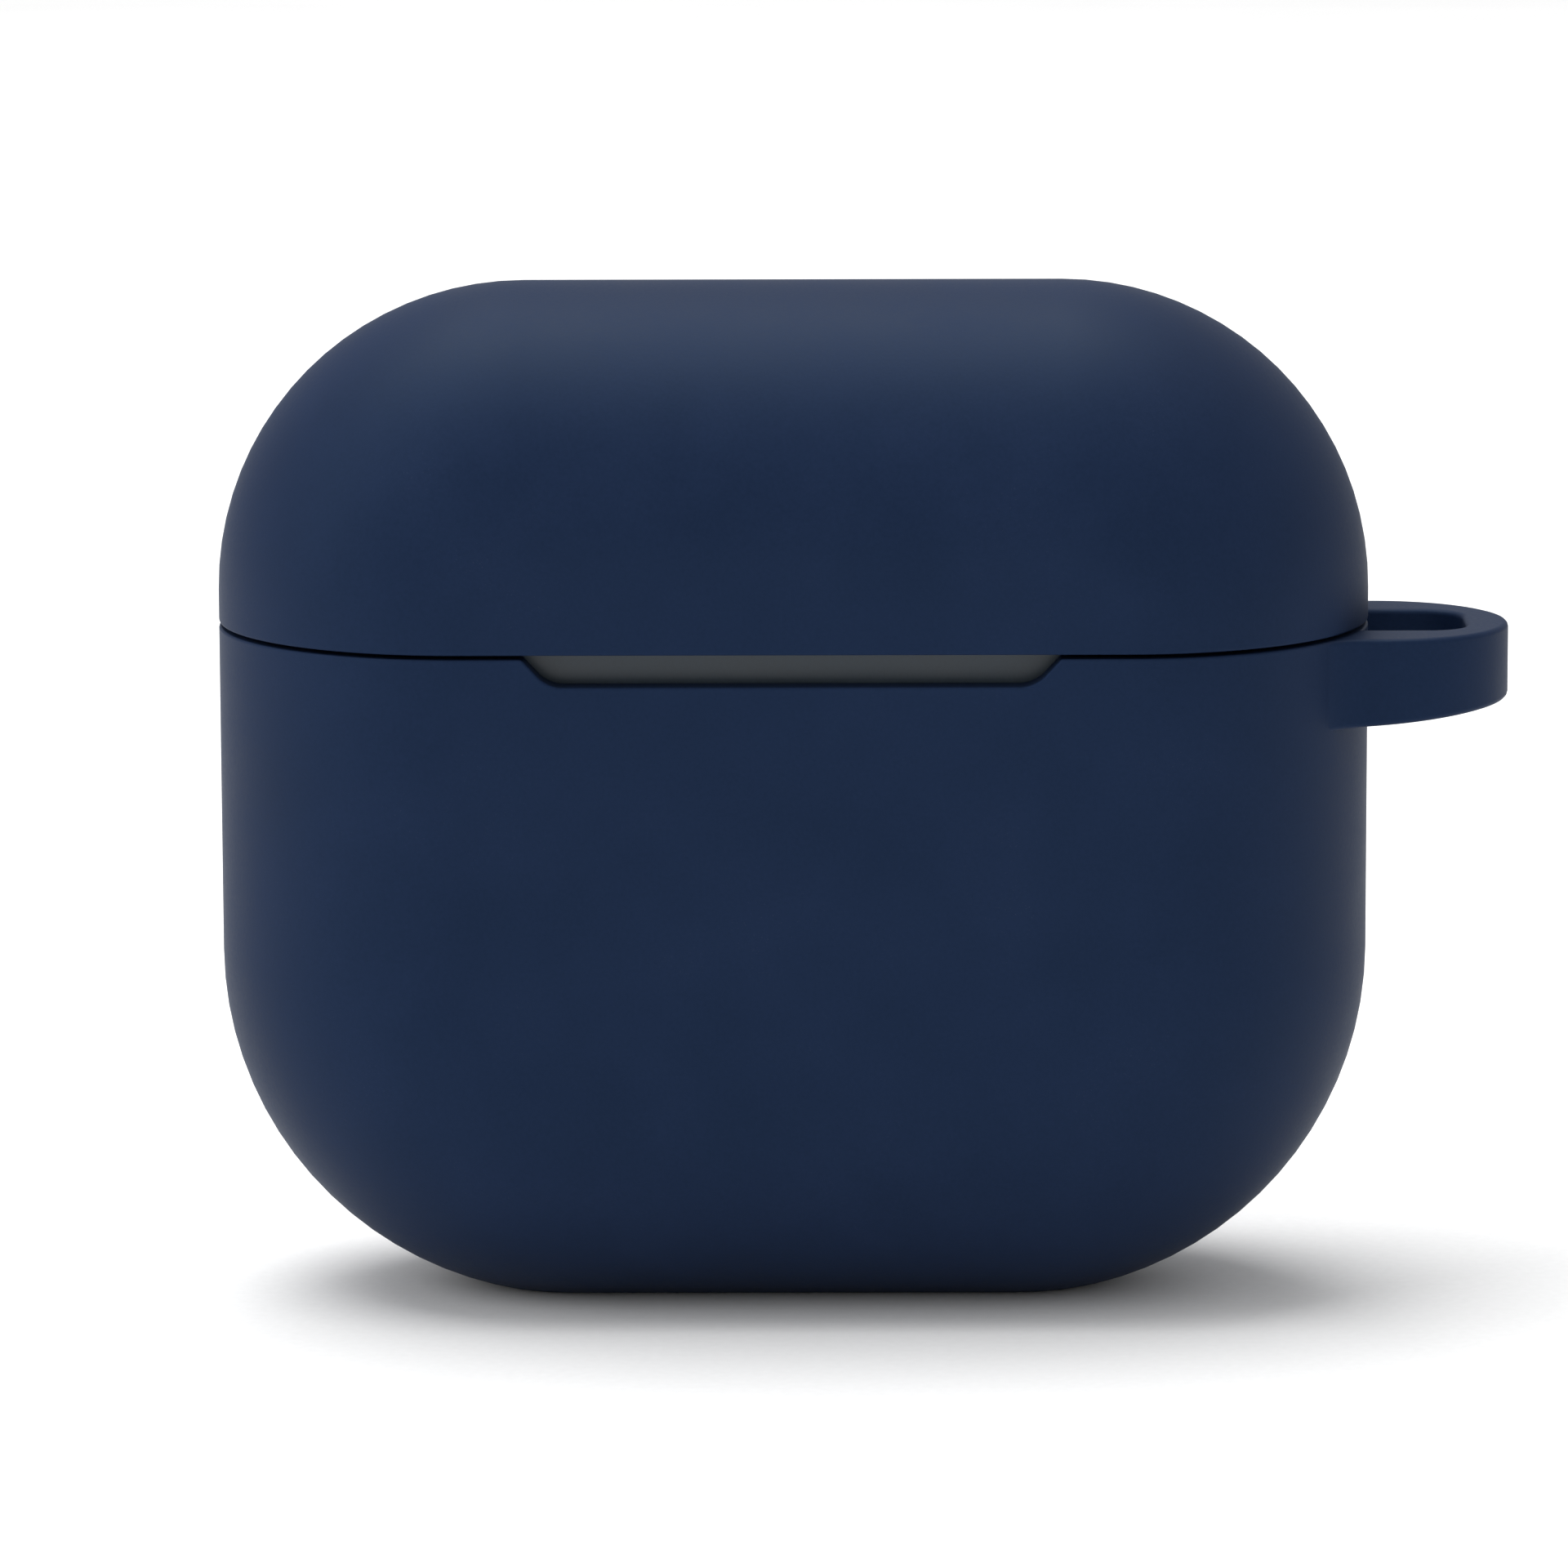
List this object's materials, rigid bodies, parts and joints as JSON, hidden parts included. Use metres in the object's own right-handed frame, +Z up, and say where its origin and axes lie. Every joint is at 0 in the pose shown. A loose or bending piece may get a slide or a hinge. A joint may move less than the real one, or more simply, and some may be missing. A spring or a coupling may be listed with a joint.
{
  "type": "wireless earbuds case",
  "caption": "Pocket charging case for stem earbuds in a matt silicone sleeve with a hinged lid, a thumb notch and a side loop.",
  "frame": {"origin": "centre of the flat underside, on the surface the case stands on", "axes": "+Z up, +X to the side with the carry loop, -Y to the front with the thumb notch, +Y to the hinge"},
  "size_m": [0.0649, 0.0248, 0.051],
  "materials": {
    "silicone": "matt silicone",
    "case_plastic": "satin",
    "tray_plastic": "fine texture",
    "steel": "brushed",
    "magnet": "nickel plated",
    "board": "solder mask",
    "chip": "moulded",
    "cell_foil": "foil pouch",
    "foam": "closed-cell foam",
    "flex": "polyimide film",
    "copper": "wound wire",
    "ferrite": "sintered sheet",
    "clear": "clear",
    "led": "phosphor",
    "gold": "gold plated",
    "adhesive": "adhesive film"
  },
  "bodies": {
    "base": {"sleeve_lower": "silicone", "base_shell": "case_plastic", "bud_tray": "tray_plastic", "hinge_leaf_base": "steel", "hinge_pin": "steel", "hinge_screws_base": "steel", "shield_can": "steel", "board_screws": "steel", "port_shell": "steel", "port_ring": "steel", "button_switch": "steel", "button_bracket": "steel", "bracket_screws": "steel", "spring_left_front": "steel", "spring_left_rear": "steel", "spring_right_front": "steel", "spring_right_rear": "steel", "latch_magnet_base": "magnet", "bud_magnets": "magnet", "main_board": "board", "board_chips": "chip", "hall_sensor": "chip", "port_tongue": "chip", "battery": "cell_foil", "battery_foam": "foam", "battery_flex": "flex", "coil_flex": "flex", "led_flex": "flex", "button_flex": "flex", "charging_coil": "copper", "ferrite_sheet": "ferrite", "light_pipe": "clear", "led_module": "led", "contact_barrels": "gold"},
    "lid": {"sleeve_lid": "silicone", "lid_grip_pad": "adhesive", "lid_shell": "case_plastic", "lid_liner": "tray_plastic", "latch_magnet_lid": "magnet", "hinge_leaf_lid": "steel", "hinge_screws_lid": "steel"},
    "setup_button": {"button_cap": "case_plastic"},
    "contact_left_front": {"plunger_left_front": "gold"},
    "contact_left_rear": {"plunger_left_rear": "gold"},
    "contact_right_front": {"plunger_right_front": "gold"},
    "contact_right_rear": {"plunger_right_rear": "gold"}
  },
  "joints": [
    {"name": "lid_hinge", "type": "hinge", "parent": "base", "child": "lid", "pos_m": [0, 0.01075, 0.0339], "axis": [-1, 0, 0], "range_deg": [0, 100]},
    {"name": "button_press", "type": "slide", "parent": "base", "child": "setup_button", "axis": [0, -1, 0], "range_m": [0, 0.0003], "stiffness_N_per_m": 2000, "springref_m": -0.0002},
    {"name": "contact_left_front", "type": "slide", "parent": "base", "child": "contact_left_front", "axis": [0, 0, -1], "range_m": [0, 0.0006], "stiffness_N_per_m": 200, "springref_m": -0.0005, "deforming": ["spring_left_front"]},
    {"name": "contact_left_rear", "type": "slide", "parent": "base", "child": "contact_left_rear", "axis": [0, 0, -1], "range_m": [0, 0.0006], "stiffness_N_per_m": 200, "springref_m": -0.0005, "deforming": ["spring_left_rear"]},
    {"name": "contact_right_front", "type": "slide", "parent": "base", "child": "contact_right_front", "axis": [0, 0, -1], "range_m": [0, 0.0006], "stiffness_N_per_m": 200, "springref_m": -0.0005, "deforming": ["spring_right_front"]},
    {"name": "contact_right_rear", "type": "slide", "parent": "base", "child": "contact_right_rear", "axis": [0, 0, -1], "range_m": [0, 0.0006], "stiffness_N_per_m": 200, "springref_m": -0.0005, "deforming": ["spring_right_rear"]}
  ]
}
